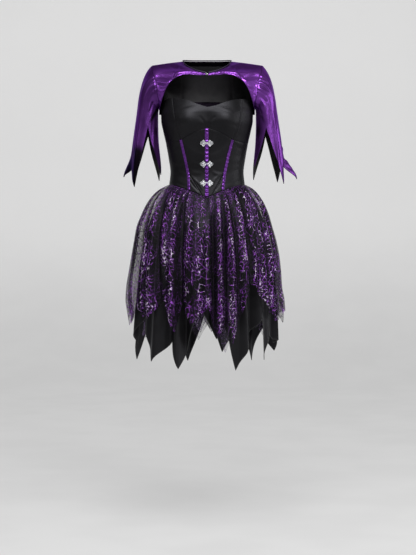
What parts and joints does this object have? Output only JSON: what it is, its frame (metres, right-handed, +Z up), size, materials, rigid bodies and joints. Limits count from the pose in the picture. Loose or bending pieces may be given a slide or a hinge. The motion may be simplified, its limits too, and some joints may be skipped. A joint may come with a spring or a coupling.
{
  "type": "witch costume",
  "caption": "Witch costume as worn: pieced bodice with clasps and sweetheart top, layered skirt with pointed hems, short bolero with pointed sleeves and a keyhole front.",
  "frame": {"origin": "centre of the wearer's natural waist, where the costume is held", "axes": "+Z up; -Y towards the front of the costume; +X towards the right of a person looking at its front"},
  "size_m": [0.5294, 0.4099, 0.9475],
  "materials": {
    "purple_satin": "shiny satin",
    "ribbon_satin": "shiny satin ribbon",
    "silver_metal": "cast filigree, polished",
    "web_tulle": "sheer net with glitter web lines",
    "black_satin": "satin",
    "pale_tulle": "sheer net with glitter web lines",
    "black_lining": "matt lining",
    "neck_binding": "narrow bias binding"
  },
  "bodies": {
    "root": {"bodice_back_left": "black_satin", "bodice_back_right": "black_satin", "bolero_back": "purple_satin", "bolero_back_lining": "black_lining", "bolero_front_left": "purple_satin", "bolero_front_right": "purple_satin", "bust_front_centre": "black_satin", "bust_side_left": "black_satin", "bust_side_right": "black_satin", "clasp_1_left": "silver_metal", "clasp_1_right": "silver_metal", "clasp_2_left": "silver_metal", "clasp_2_right": "silver_metal", "clasp_3_left": "silver_metal", "clasp_3_right": "silver_metal", "front_gore_left": "black_satin", "front_gore_right": "black_satin", "midriff_front_centre": "black_satin", "midriff_side_left": "black_satin", "midriff_side_right": "black_satin", "neck_binding": "neck_binding", "neck_eye": "silver_metal", "neck_hook": "silver_metal", "ribbon_centre": "ribbon_satin", "ribbon_left": "ribbon_satin", "ribbon_right": "ribbon_satin", "skirt_overlay_back": "web_tulle", "skirt_overlay_front": "web_tulle", "skirt_satin_back": "black_satin", "skirt_satin_front": "black_satin", "skirt_under_back": "pale_tulle", "skirt_under_front": "pale_tulle", "sleeve_left": "purple_satin", "sleeve_lining_left": "black_lining", "sleeve_lining_right": "black_lining", "sleeve_right": "purple_satin"}
  },
  "joints": []
}
